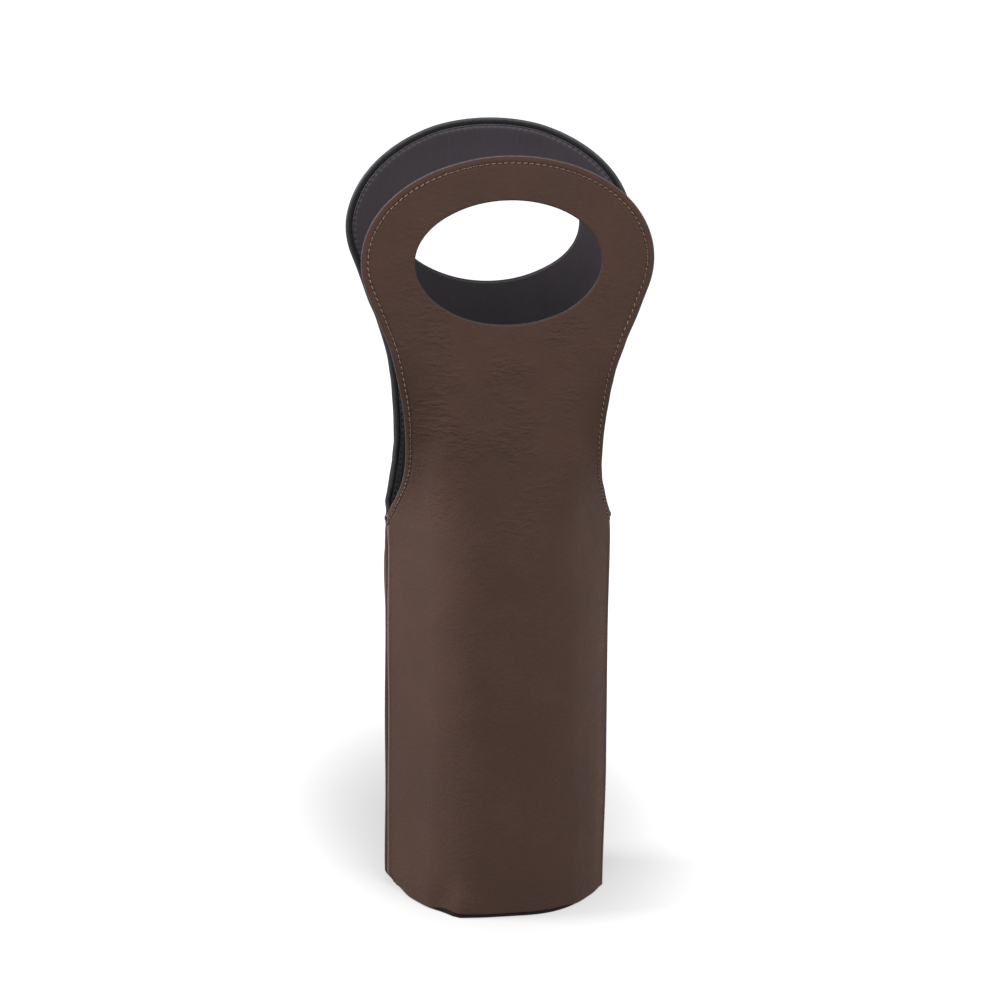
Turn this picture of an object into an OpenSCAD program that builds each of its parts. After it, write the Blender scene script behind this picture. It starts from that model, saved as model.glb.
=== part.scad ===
/* [Overall] */
// Height from the floor to the top of both handles
overall_h = 355; // [340:1:375]

/* [Sleeve] */
// Width across the two side seams
sleeve_w = 102.4; // [96:0.4:110]
// Depth across the middles of the front and back panels
sleeve_d = 88.6; // [82:0.2:94]
// Width of a panel's front face, from the middle of one soft fold to the other
facet_w = 50; // [46:0.2:54]
// Outside radius of the soft folds, which make the sleeve nearly round
corner_r = 30; // [22:1:33]
// Height of the side seams above the floor
seam_h = 180.5; // [165:0.5:190]

/* [Handles] */
// Width of the oval head of a handle
head_w = 131.6; // [122:0.4:140]
// Height of the full oval that the head is cut from
head_h = 96.4; // [90:0.4:104]
// Angle on that oval where the head runs into the neck
head_leave_angle = -16; // [-24:1:-8]
// Width of a panel at its narrowest, the waist
waist_w = 90; // [84:1:94]
// Height of the waist above the floor
waist_z = 213; // [206:1:218]
// Width of the oval finger hole
hole_w = 83.7; // [76:0.1:90]
// Height of the oval finger hole
hole_h = 56.4; // [48:0.2:60]
// Band of leather between the finger hole and the top of the head
top_band = 20.3; // [17:0.1:25]
// Height above the floor from which the panels run up straight
straight_from_z = 267; // [255:1:275]
// Angle that the sides of the front head still bend back by
front_head_bend = 5.4; // [1:0.1:14]
// Angle that the sides of the back head still bend forward by
back_head_bend = 12.9; // [1:0.1:14]
// How far the front head stands out past the front of the sleeve
front_head_lean = 0.2; // [0:0.1:4]
// How far the back head stands out past the back of the sleeve
back_head_lean = 1.7; // [0:0.1:4]

/* [Layers] */
// Thickness of the brown outer leatherette
leather_t = 1; // [0.8:0.1:1.4]
// Thickness of the black stiffening layer behind it
backing_t = 0.8; // [0.6:0.1:1.2]
// Thickness of the grey lining
lining_t = 0.5; // [0.4:0.1:0.8]
// How far the lining stops short of the free edges
lining_inset = 2.9; // [2:0.1:3]

/* [Stitching] */
// Distance of the topstitching from the free edge
stitch_inset = 3.3; // [3.2:0.1:5]
// Distance from one stitch to the next
stitch_pitch = 2.8; // [2.6:0.1:4]
// Length of one stitch that shows
stitch_l = 2.1; // [1.6:0.1:2.2]
// Thickness of the sewing thread
thread_d = 0.55; // [0.4:0.05:0.7]
// Distance from one stitch to the next in the side seams and the base seam
seam_pitch = 4; // [3.5:0.1:6]

/* [Side seams] */
// Width of the turned edge that stands inside the lining at each side seam
turned_edge_w = 3.4; // [2.4:0.2:5]
// Height at which the turned edges end below the seam top
turned_edge_drop = 7; // [6:0.5:12]
// Number of thread turns in the bar tack at each seam top
tack_turns = 4; // [3:1:6]
// Length of a bar tack on each side of the seam
tack_reach = 1.6; // [1.2:0.1:2.5]

/* [Base] */
// Thickness of the black base cover
cover_t = 0.9; // [0.7:0.1:1.2]
// How far the base cover stays inside the outer face of the sleeve
cover_inset = 0.6; // [0.3:0.1:0.9]
// Height of the base cover's turned-up edge above the floor
turned_up_h = 7; // [6:0.5:10]
// Thickness of the stiff board in the base
board_t = 2; // [1.5:0.1:3]
// Clearance between the board and the turned-up edge
board_gap = 0.2; // [0.1:0.05:0.4]

/* [Flex lines] */
// Height of the line about which each handle flexes
flex_z = 216; // [212:1:222]
// Clearance across the flex line between a handle and the sleeve
flex_gap = 0.35; // [0.3:0.05:0.6]
// Depth by which the flex round reaches past the panel
flex_margin = 0.6; // [0.5:0.1:1.2]

/* [Hidden] */

front = 0;
back = 1;
brown = "#54403a";
black = "#232124";
charcoal = "#3d383d";
tan_thread = "#a07a5c";
grey_board = "#8b857c";

// Shares and counts of the outline, chosen by eye along each curve
neck_top_handle_share = 0.47;
neck_waist_handle_share = 0.31;
armhole_waist_handle_share = 0.43;
armhole_seam_handle_share = 0.31;
armhole_spread_share = 0.37;
corner_steps = 8;
wing_steps = 4;
bend_steps = 10;
curve_steps = 9;
oval_steps = 18;
hole_steps = 56;
fine_factor = 4;
thread_sides = 16;
round_sides = 96;

head_bend = [front_head_bend, back_head_bend];
head_lean = [front_head_lean, back_head_lean];
head_z = overall_h - head_h / 2;
hole_z = overall_h - top_band - hole_h / 2;
sleeve_bend = atan2(sleeve_d / 2, (sleeve_w - facet_w) / 2);
wall_t = leather_t + backing_t + lining_t;
overrun = 3;
handle_reach_x = head_w / 2 + overrun;
sleeve_reach_x = sleeve_w / 2 + overrun;
reach_y = sleeve_d;
floor_z = cover_t + board_t + lining_t;
seam_x = sleeve_w / 2;
turned_edge_top = seam_h - turned_edge_drop;
lining_seam_x = seam_inset_x(wall_t) - leather_t / tan(sleeve_bend);

// Smooth run from 0 to 1
function ease(s) = let (t = max(0, min(1, s))) t * t * (3 - 2 * t);

// Cross-section of a panel at height z: a facet, a soft fold and a wing on each side
function opened(z) = ease((z - seam_h) / (straight_from_z - seam_h));
function bend(z, side) = sleeve_bend + (head_bend[side] - sleeve_bend) * opened(z);
function facet_depth(z, side) = sleeve_d / 2 + head_lean[side] * opened(z);
function facet_end(z, side) = facet_w / 2 - corner_r * tan(bend(z, side) / 2);
function fold_point(z, side, inset, angle) = [
    facet_end(z, side) + (corner_r - inset) * sin(angle),
    facet_depth(z, side) - corner_r + (corner_r - inset) * cos(angle)
];
function wing_depth(x, z, side, inset) =
    let (a = bend(z, side), p = fold_point(z, side, inset, a))
    p.y - (x - p.x) * tan(a);
function depth_at(x, z, side, inset) =
    let (a = bend(z, side), p = fold_point(z, side, inset, a), e = facet_end(z, side))
    abs(x) <= e ? facet_depth(z, side) - inset
    : abs(x) >= p.x ? wing_depth(abs(x), z, side, inset)
    : facet_depth(z, side) - corner_r + sqrt(pow(corner_r - inset, 2) - pow(abs(x) - e, 2));
function half_section(z, side, inset, reach) = concat(
    [for (j = [0:corner_steps]) fold_point(z, side, inset, bend(z, side) * j / corner_steps)],
    [for (j = [1:wing_steps])
        let (e = fold_point(z, side, inset, bend(z, side)).x, x = e + (reach - e) * j / wing_steps)
        [x, wing_depth(x, z, side, inset)]]
);
function reversed(list) = [for (i = [len(list) - 1:-1:0]) list[i]];
function mirrored(list) = [for (p = reversed(list)) [-p.x, p.y]];
function section(z, side, inset, reach) =
    let (h = half_section(z, side, inset, reach)) concat(mirrored(h), h);

// Closed outline of the sleeve, set in from its outer face
function seam_inset_x(inset) = seam_x - inset / sin(sleeve_bend);
function fold_points(inset) =
    [for (j = [0:corner_steps]) fold_point(0, front, inset, sleeve_bend * j / corner_steps)];
function half_ring(inset) = concat(
    [[-seam_inset_x(inset), 0]],
    mirrored(fold_points(inset)),
    fold_points(inset)
);
function ring_outline(inset) =
    let (h = half_ring(inset)) concat(h, [for (p = h) [-p.x, -p.y]]);

// Free edge of a panel, right half, as points of width and height from seam to head top
function bezier(p, t) =
    pow(1 - t, 3) * p[0] + 3 * t * pow(1 - t, 2) * p[1] + 3 * t * t * (1 - t) * p[2] + pow(t, 3) * p[3];
function oval_point(inset, angle) = [
    (head_w / 2 - inset) * cos(angle),
    head_z + (head_h / 2 - inset) * sin(angle)
];
function armhole_controls(inset, side) =
    let (
        span = waist_z - seam_h,
        drop = inset / sin(atan(armhole_spread_share / cos(sleeve_bend))),
        start = [seam_x, seam_h - drop],
        x = waist_w / 2 - inset * cos(bend(waist_z, side)),
        rise = armhole_seam_handle_share * span
    )
    [
        start,
        start + [-armhole_spread_share * rise, rise],
        [x, waist_z - armhole_waist_handle_share * span],
        [x, waist_z]
    ];
function neck_controls(inset, side) =
    let (
        top = oval_point(inset, head_leave_angle),
        span = top.y - waist_z,
        slope = -(head_w / head_h) * tan(head_leave_angle),
        x = waist_w / 2 - inset * cos(bend(waist_z, side)),
        fall = neck_top_handle_share * span
    )
    [
        [x, waist_z],
        [x, waist_z + neck_waist_handle_share * span],
        top - [slope * fall, fall],
        top
    ];
function free_edge(inset, side, steps) = concat(
    [for (i = [0:steps]) bezier(armhole_controls(inset, side), i / steps)],
    [for (i = [1:steps]) bezier(neck_controls(inset, side), i / steps)],
    [for (i = [1:steps * oval_steps / curve_steps])
        let (s = i * curve_steps / (steps * oval_steps))
        oval_point(inset, head_leave_angle + (90 - head_leave_angle) * s)]
);
function panel_outline(inset, side) =
    let (
        e = free_edge(inset, side, curve_steps),
        half = concat([[sleeve_reach_x, 0], [sleeve_reach_x, e[0].y]], e)
    )
    concat(half, [for (i = [len(half) - 2:-1:0]) [-half[i].x, half[i].y]]);

// Flex round: the panel lies inside it at the height of its axis
function flex_inner_depth(side) =
    depth_at(waist_w / 2, flex_z, side, leather_t + backing_t);
function flex_depth(side) = (facet_depth(flex_z, side) + flex_inner_depth(side)) / 2;
function flex_r(side) =
    (facet_depth(flex_z, side) - flex_inner_depth(side)) / 2 + flex_margin;

// Heights of the rows of a panel's surface
function bend_rows(z0, z1) = [for (i = [0:bend_steps]) z0 + (z1 - z0) * i / bend_steps];
function sleeve_rows(side) =
    concat([cover_t], bend_rows(seam_h, flex_z + flex_r(side) + overrun));
function handle_rows(side) = concat(bend_rows(flex_z, straight_from_z), [overall_h + overrun]);

// One layer of a panel between two depths of inset, as a closed sheet with faces on a grid
module sheet(side, rows, reach, outer, inner) {
    n = len(rows);
    m = len(section(rows[0], side, outer, reach));
    points = [for (inset = [outer, inner], z = rows, p = section(z, side, inset, reach))
        [p.x, -p.y, z]];
    function at(layer, r, c) = (layer * n + r) * m + c;
    faces = concat(
        [for (r = [0:n - 2], c = [0:m - 2]) [at(0, r, c), at(0, r + 1, c), at(0, r + 1, c + 1)]],
        [for (r = [0:n - 2], c = [0:m - 2]) [at(0, r, c), at(0, r + 1, c + 1), at(0, r, c + 1)]],
        [for (r = [0:n - 2], c = [0:m - 2]) [at(1, r, c), at(1, r + 1, c + 1), at(1, r + 1, c)]],
        [for (r = [0:n - 2], c = [0:m - 2]) [at(1, r, c), at(1, r, c + 1), at(1, r + 1, c + 1)]],
        [for (r = [0:n - 2]) [at(0, r + 1, 0), at(0, r, 0), at(1, r, 0), at(1, r + 1, 0)]],
        [for (r = [0:n - 2])
            [at(0, r, m - 1), at(0, r + 1, m - 1), at(1, r + 1, m - 1), at(1, r, m - 1)]],
        [for (c = [0:m - 2])
            [at(0, n - 1, c + 1), at(0, n - 1, c), at(1, n - 1, c), at(1, n - 1, c + 1)]],
        [for (c = [0:m - 2]) [at(0, 0, c), at(0, 0, c + 1), at(1, 0, c + 1), at(1, 0, c)]]
    );
    polyhedron(points, faces);
}

// Space in front of the seam plane, inside the free edge of a panel
module outline_prism(side, inset, clear_of_seam) {
    translate([0, -clear_of_seam, 0])
        rotate([90, 0, 0])
            linear_extrude(height = reach_y)
                polygon(panel_outline(inset, side));
}

module flex_round(side, r) {
    translate([-handle_reach_x, -flex_depth(side), flex_z])
        rotate([0, 90, 0])
            cylinder(r = r, h = 2 * handle_reach_x, $fn = round_sides);
}

module finger_hole() {
    translate([0, 0, hole_z])
        rotate([90, 0, 0])
            linear_extrude(height = reach_y)
                polygon([for (i = [0:hole_steps - 1])
                    let (a = 360 * i / hole_steps)
                    [hole_w / 2 * cos(a), hole_h / 2 * sin(a)]]);
}

// Back pieces are made like front ones and mirrored through the seam plane
module on_side(side) {
    if (side == back) mirror([0, 1, 0]) children();
    else children();
}

module sleeve_layer(side, outer, inner, inset, clear_of_seam) {
    intersection() {
        sheet(side, sleeve_rows(side), sleeve_reach_x, outer, inner);
        outline_prism(side, inset, clear_of_seam);
        union() {
            translate([-handle_reach_x, -reach_y, 0])
                cube([2 * handle_reach_x, reach_y, flex_z]);
            flex_round(side, flex_r(side));
        }
    }
}

module handle_layer(side, outer, inner, inset) {
    difference() {
        intersection() {
            sheet(side, handle_rows(side), handle_reach_x, outer, inner);
            outline_prism(side, inset, 0);
        }
        finger_hole();
        flex_round(side, flex_r(side) + flex_gap);
    }
}

// The outer layer's edge is turned in along each side seam, where the thread holds it
module turned_edges() {
    width = seam_inset_x(leather_t) - lining_seam_x + turned_edge_w;
    for (m = [0, 1])
        mirror([m, 0, 0])
            translate([lining_seam_x - turned_edge_w, -leather_t, turned_up_h])
                cube([width, leather_t, turned_edge_top - turned_up_h]);
}

module sleeve_leather(side) {
    on_side(side) {
        sleeve_layer(side, 0, leather_t, 0, 0);
        turned_edges();
    }
}

module sleeve_backing(side) {
    on_side(side) sleeve_layer(side, leather_t, leather_t + backing_t, 0, leather_t);
}

module sleeve_lining(side) {
    on_side(side) difference() {
        sleeve_layer(side, leather_t + backing_t, wall_t, lining_inset, leather_t);
        translate([-sleeve_reach_x, -reach_y, 0])
            cube([2 * sleeve_reach_x, reach_y, turned_up_h]);
    }
}

// Running sums of the length along a list of points, and a point and direction at a length
function run_lengths(p, i = 0, sum = 0) =
    i >= len(p) - 1 ? [sum]
    : concat([sum], run_lengths(p, i + 1, sum + norm(p[i + 1] - p[i])));
function spot(p, sums, s) =
    let (
        i = max([for (k = [0:len(p) - 2]) if (sums[k] <= s) k]),
        d = (p[i + 1] - p[i]) / norm(p[i + 1] - p[i])
    )
    [p[i] + d * (s - sums[i]), d];

// Thread line on the face of a panel at a depth of inset, from the seam to the head top
function stitch_line(side, depth) = [
    for (p = free_edge(stitch_inset, side, curve_steps * fine_factor))
        [p.x, -max(depth_at(p.x, p.y, side, depth), 0), p.y]
];
function stitch_spots(side, depth) =
    let (
        p = stitch_line(side, depth),
        sums = run_lengths(p),
        total = sums[len(sums) - 1],
        count = floor(total / stitch_pitch)
    )
    [for (k = [0:count - 1]) spot(p, sums, total * (k + 0.5) / count)];
function flex_distance(side, q) = norm([q.y + flex_depth(side), q.z - flex_z]);
function on_handle(side, q) =
    q.z > flex_z && flex_distance(side, q) > flex_r(side) + flex_gap + stitch_l / 2 + thread_d;
function on_sleeve(side, q) =
    q.z < flex_z || flex_distance(side, q) < flex_r(side) - stitch_l / 2 - thread_d;
function off_seam(depth, q) = depth == 0 || -q.y > leather_t + thread_d;

module stitch(q, d) {
    translate(q)
        rotate([0, acos(d.z), atan2(d.y, d.x)])
            cylinder(d = thread_d, h = stitch_l, center = true, $fn = thread_sides);
}

module stitches(side, depth, above) {
    for (s = stitch_spots(side, depth))
        if (off_seam(depth, s[0]) && (above ? on_handle(side, s[0]) : on_sleeve(side, s[0])))
            for (m = [0, 1])
                mirror([m, 0, 0]) stitch(s[0], s[1]);
}

module topstitching(side, above) {
    on_side(side) stitches(side, 0, above);
}

// The under thread lies a little higher on the lining, so that it clears the layer below
module inner_stitching(side, above) {
    on_side(side) stitches(side, wall_t + thread_d / 4, above);
}

// Lockstitches of a side seam: a dash on both faces of the turned edges and a thread through
module side_seam_thread(s) {
    x = s * (lining_seam_x - thread_d);
    first = turned_up_h + seam_pitch;
    count = floor((turned_edge_top - first) / seam_pitch);
    for (i = [0:count - 1]) translate([x, 0, first + seam_pitch * i]) {
        for (y = [-leather_t, leather_t])
            translate([0, y, 0])
                cylinder(d = thread_d, h = stitch_l, center = true, $fn = thread_sides);
        rotate([90, 0, 0])
            cylinder(d = thread_d, h = 2 * leather_t, center = true, $fn = thread_sides);
    }
}

// Thread turns laid over the top of a side seam, along both wings
module bar_tack(s) {
    for (i = [0:tack_turns - 1], m = [-1, 1])
        translate([s * seam_x, 0, seam_h - thread_d * (i + 2)])
            rotate([0, 0, -m * s * (90 - sleeve_bend)])
                rotate([m * 90, 0, 0])
                    cylinder(d = thread_d, h = tack_reach, $fn = thread_sides);
}

module plate(inset, bottom, thickness) {
    translate([0, 0, bottom]) linear_extrude(height = thickness) polygon(ring_outline(inset));
}

module base_cover() {
    color(black) {
        plate(cover_inset, 0, cover_t);
        difference() {
            plate(leather_t + backing_t, cover_t, turned_up_h - cover_t);
            plate(wall_t, 0, 2 * turned_up_h);
        }
    }
}

module base_board() {
    color(grey_board) plate(wall_t + board_gap, cover_t, board_t);
}

module base_lining() {
    color(charcoal) plate(wall_t + board_gap, cover_t + board_t, lining_t);
}

// Stitches around the inside of the base cover's turned-up edge
module base_seam_thread() {
    outline = [for (p = ring_outline(wall_t)) [p.x, p.y, (floor_z + turned_up_h) / 2]];
    closed = concat(outline, [outline[0]]);
    sums = run_lengths(closed);
    total = sums[len(sums) - 1];
    count = floor(total / seam_pitch);
    color(black)
        for (k = [0:count - 1]) {
            s = spot(closed, sums, total * (k + 0.5) / count);
            stitch(s[0], s[1]);
        }
}

module front_sleeve_leather() { color(brown) sleeve_leather(front); }
module back_sleeve_leather() { color(brown) sleeve_leather(back); }
module front_sleeve_backing() { color(black) sleeve_backing(front); }
module back_sleeve_backing() { color(black) sleeve_backing(back); }
module front_sleeve_lining() { color(charcoal) sleeve_lining(front); }
module back_sleeve_lining() { color(charcoal) sleeve_lining(back); }
module left_side_seam_thread() { color(black) side_seam_thread(-1); }
module right_side_seam_thread() { color(black) side_seam_thread(1); }
module left_seam_bar_tack() { color(black) bar_tack(-1); }
module right_seam_bar_tack() { color(black) bar_tack(1); }
module front_armhole_topstitching() { color(tan_thread) topstitching(front, false); }
module back_armhole_topstitching() { color(tan_thread) topstitching(back, false); }
module front_armhole_inner_stitching() { color(black) inner_stitching(front, false); }
module back_armhole_inner_stitching() { color(black) inner_stitching(back, false); }

module handle_leather(side) {
    on_side(side) handle_layer(side, 0, leather_t, 0);
}
module handle_backing(side) {
    on_side(side) handle_layer(side, leather_t, leather_t + backing_t, 0);
}
module handle_lining(side) {
    on_side(side) handle_layer(side, leather_t + backing_t, wall_t, lining_inset);
}

module front_handle_leather() { color(brown) handle_leather(front); }
module front_handle_backing() { color(black) handle_backing(front); }
module front_handle_lining() { color(charcoal) handle_lining(front); }
module front_handle_topstitching() { color(tan_thread) topstitching(front, true); }
module front_handle_inner_stitching() { color(black) inner_stitching(front, true); }
module back_handle_leather() { color(brown) handle_leather(back); }
module back_handle_backing() { color(black) handle_backing(back); }
module back_handle_lining() { color(charcoal) handle_lining(back); }
module back_handle_topstitching() { color(tan_thread) topstitching(back, true); }
module back_handle_inner_stitching() { color(black) inner_stitching(back, true); }

front_sleeve_leather();
back_sleeve_leather();
front_sleeve_backing();
back_sleeve_backing();
front_sleeve_lining();
back_sleeve_lining();
left_side_seam_thread();
right_side_seam_thread();
left_seam_bar_tack();
right_seam_bar_tack();
front_armhole_topstitching();
back_armhole_topstitching();
front_armhole_inner_stitching();
back_armhole_inner_stitching();
base_cover();
base_board();
base_lining();
base_seam_thread();
front_handle_leather();
front_handle_backing();
front_handle_lining();
front_handle_topstitching();
front_handle_inner_stitching();
back_handle_leather();
back_handle_backing();
back_handle_lining();
back_handle_topstitching();
back_handle_inner_stitching();
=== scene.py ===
import math

import bpy
import numpy as np
from mathutils import Matrix, Vector
from mathutils.geometry import delaunay_2d_cdt
from mathutils.kdtree import KDTree


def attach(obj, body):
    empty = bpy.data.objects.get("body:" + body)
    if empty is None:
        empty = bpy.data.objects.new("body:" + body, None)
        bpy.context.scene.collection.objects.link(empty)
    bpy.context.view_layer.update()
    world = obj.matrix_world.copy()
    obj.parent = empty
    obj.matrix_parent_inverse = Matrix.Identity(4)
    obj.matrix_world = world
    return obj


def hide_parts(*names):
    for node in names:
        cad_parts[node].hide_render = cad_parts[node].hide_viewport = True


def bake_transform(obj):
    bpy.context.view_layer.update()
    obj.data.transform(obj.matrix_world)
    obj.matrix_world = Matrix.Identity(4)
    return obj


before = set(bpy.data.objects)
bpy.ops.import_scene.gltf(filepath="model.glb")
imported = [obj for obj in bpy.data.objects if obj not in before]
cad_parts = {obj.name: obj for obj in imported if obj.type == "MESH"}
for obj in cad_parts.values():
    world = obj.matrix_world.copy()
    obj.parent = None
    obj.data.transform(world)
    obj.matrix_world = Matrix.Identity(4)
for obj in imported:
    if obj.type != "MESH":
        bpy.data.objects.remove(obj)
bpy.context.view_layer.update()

# Sizes in millimetres, the same as in the solids
MM = 0.001
FRONT, BACK = 0, 1
overall_h = 355.0
sleeve_w = 102.4
sleeve_d = 88.6
facet_w = 50.0
corner_r = 30.0
seam_h = 180.5
head_w = 131.6
head_h = 96.4
head_leave_angle = math.radians(-16)
neck_top_handle_share = 0.47
neck_waist_handle_share = 0.31
armhole_waist_handle_share = 0.43
armhole_seam_handle_share = 0.31
armhole_spread_share = 0.37
waist_w = 90.0
waist_z = 213.0
hole_w = 83.7
hole_h = 56.4
top_band = 20.3
straight_from_z = 267.0
head_bend = np.radians([5.4, 12.9])
head_lean = np.array([0.2, 1.7])
leather_t = 1.0
backing_t = 0.8
lining_t = 0.5
wall_t = leather_t + backing_t + lining_t
lining_inset = 2.9
stitch_inset = 3.3
stitch_pitch = 2.8
thread_d = 0.55
ply_pitch = 1.9
seam_pitch = 4.0
turned_up_h = 7.0
turned_edge_top = 173.5
turned_edge_reach = 5.8
head_z = overall_h - head_h / 2
hole_z = overall_h - top_band - hole_h / 2

# The leather rolls over each side seam; the sharp corner that it rounds lies this far out, and the two
# panels meet with this much air to each side of the seam's plane
seam_roll = 1.2
corner_half_w = 52.15
seam_air = 0.03
sleeve_bend = math.atan2(sleeve_d / 2, corner_half_w - facet_w / 2)
roll_turn = math.pi - sleeve_bend
roll_start = (facet_w / 2 - corner_r * math.tan(sleeve_bend / 2) + corner_r * sleeve_bend
              + (corner_half_w - facet_w / 2 + corner_r * (math.tan(sleeve_bend / 2) - math.sin(sleeve_bend)))
              / math.cos(sleeve_bend) - seam_roll / math.tan(sleeve_bend / 2))
roll_crown = roll_start + seam_roll * (math.pi / 2 - sleeve_bend)
roll_end = roll_start + seam_roll * roll_turn
turned_end = roll_end + turned_edge_reach

# How the real one stands: the heads turned and leaning a little from this height up, and each side of a
# panel further out or in than the pattern, as pairs of a height and the shift of the edge there
lean_from_z = 216
lean_over = 70
tip_pivot_z = 310
head_turn = np.radians([0.6, -2.25])
head_tip = np.radians([0.4, -0.7])
right_drift = [(0, -1.6), (60, -0.2), (120, 0.2), (180, 0.8), (192, 1.0), (201, 0.4), (210, 0), (225, -0.3),
               (238, -0.4), (248, -0.9), (257, -1.3), (268, -0.9), (282, 0)]
front_left_drift = [(0, -0.9), (165, -0.9), (180, 0), (250, 0), (268, -0.7), (280, -0.2), (290, 0)]
back_left_drift = [(180, 0), (186, 2.0), (195, 2.1), (202, 1.5), (210, 0.8), (225, 0.5), (237, 0),
                   (246, -0.4), (262, 0), (272, 0.8), (290, 0.5), (305, 0.4), (322, 0)]

# A shift fades in from here to the edge; low on the back's left side it moves little but the edge itself
drift_from = 12
drift_over = 36
edge_alone = 24

# The foot drawn in and back at the left seam, forward at the right one, fuller and skewed in front, with a
# crisp bend at its left; slack sides, a ridge of turned leather along the seams, and a fuller back panel
# beside the left one; and the turned edges, which lean to the back
left_foot_in = 4.2
left_foot_back = 4.2
right_foot_forward = 4.5
foot_out = 1.5
foot_skew = 1.0
left_belly = 0.6
right_belly = 2.2
crisp_corner_out = 2.2
seam_ridge = 0.5
left_back_swell = 3.0
turned_lean = 0.25

# The sole shows below the front, this far to each side of the middle, and is tucked under beyond
sole_half = 26
sole_fade = 16
sole_low = 0.4
sole_lift = 1.15
sole_gap = 0.65
sole_tuck = 0.9

# Where the backing and the lining end beside the seam, at the foot and round the hole
backing_side = roll_start - 0.4
backing_foot = sole_low + 0.2
lining_side = roll_start - 0.9
lining_foot = turned_up_h + 0.2
lining_hole_inset = 0.5


def ease(t):
    """Smooth step from 0 to 1."""
    t = np.clip(t, 0, 1)
    return t * t * (3 - 2 * t)


def hump(t):
    """Smooth hump, 1 at 0 and nothing beyond 2 or 3."""
    return np.exp(-t ** 2)


def opened(z):
    """How far a panel has opened, from 0 at the seam's top to 1 where it runs up straight."""
    return ease((z - seam_h) / (straight_from_z - seam_h))


def bend(z, side):
    """Angle through which each side of a panel is bent back from its flat middle."""
    return sleeve_bend + (head_bend[side] - sleeve_bend) * opened(z)


def facet_depth(z, side):
    """Distance of a panel's flat middle from the carrier's own middle."""
    return sleeve_d / 2 + head_lean[side] * opened(z)


def shown_sole(s):
    """1 where the sole shows at run s, 0 where it is tucked under."""
    return 1 - ease((np.abs(s) - sole_half) / sole_fade)


def carried(s, z, side):
    """How far the whole laminate stands out from its pattern shape, at run s and height z: slack, bellied
    sides, the ridge and swell beside the seams, and the front's fuller, skewed foot with its crisp bend."""
    a = np.abs(s)
    slack = 0.22 * np.sin(s / 11 + z / 23 + side * 2) * np.sin(z / 31 + 1.3 + side) \
        + 0.16 * np.sin(z / 13 - s / 19 + side * 3)
    slack = slack * ease((z - 4) / 40) * ease((overall_h - z) / 30)
    along = np.clip((a - 26) / (roll_start - 26), 0, 1)
    belly = np.where(s < 0, left_belly, right_belly) * np.sin(math.pi * along ** 1.15) ** 1.3
    belly = belly * (1 - 0.4 * ease(z / 120)) * (1 - ease((z - 130) / 70))
    ridge = seam_ridge * hump((a - roll_start + 0.7) / 0.8) * ease((176 - z) / 10)
    swell = left_back_swell * hump((s + roll_start - 4.5) / 3.2) * ease((roll_start + 0.8 + s) / 3)
    swell = swell * (0.65 + 0.35 * hump((z - 152) / 18)) * ease((180 - z) / 22) * ease((z - 3) / 9)
    everywhere = slack + belly + ridge + swell * (side == BACK) * (s < 0)
    full = (1 - ease((a - 34) / 20)) * (1 - ease(z / 80))
    skew = -s / 18 * np.exp((1 - (s / 18) ** 2) / 2) * (1 - ease(z / 110))
    corner = np.exp(-np.abs((s + 20.5) / 4.5) ** 1.6) - 0.6 * hump((s + 31) / 7)
    corner = corner * (1 - ease(z / 21))
    in_front = foot_out * full + foot_skew * skew + crisp_corner_out * corner
    return everywhere + in_front * (side == FRONT)


def drift(z, shifts):
    """Smooth reading of shifts listed by height."""
    heights, sizes = np.array(shifts, float).T
    k = np.clip(np.searchsorted(heights, z, side="right") - 1, 0, len(heights) - 2)
    share = ease((z - heights[k]) / (heights[k + 1] - heights[k]))
    return sizes[k] + (sizes[k + 1] - sizes[k]) * share


def settle(points, side=None):
    """Moves pattern points in mm to where they lie on the real carrier."""
    x, y, z = points[..., 0], points[..., 1], points[..., 2]
    left_drift = back_left_drift if side == BACK else front_left_drift
    late = edge_alone * (1 - ease((z - 192) / 26)) * (side == BACK)
    to_right = drift(z, right_drift) * ease((x - drift_from) / drift_over)
    to_left = drift(z, left_drift) * ease((-x - drift_from - late) / (drift_over - late))
    x = x + to_right - to_left
    y = y + left_foot_back * (1 - ease(z / 50)) * ease((-x - 40) / 11)
    y = y - right_foot_forward * (1 - ease(z / 110)) * ease((x - 30) / 20)
    x = x + left_foot_in * (1 - ease(z / 7)) * ease((-x - 40) / 12)
    if side is not None:
        high = ease((z - lean_from_z) / lean_over)
        y0 = (sleeve_d / 2 + head_lean[side]) * (1 if side == BACK else -1)
        y = y + head_tip[side] * (z - tip_pivot_z) * high
        turn = head_turn[side] * high
        x, y = (x * np.cos(turn) - (y - y0) * np.sin(turn),
                y0 + x * np.sin(turn) + (y - y0) * np.cos(turn))
    return np.stack([x, y, z], -1)


def sole_top(s, side):
    """Height of the sole's upper edge, with a small gape at the left of the front."""
    front_gap = sole_gap * hump((s + 27) / 9) * (side == FRONT)
    return sole_low + sole_lift * shown_sole(s) + front_gap


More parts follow.
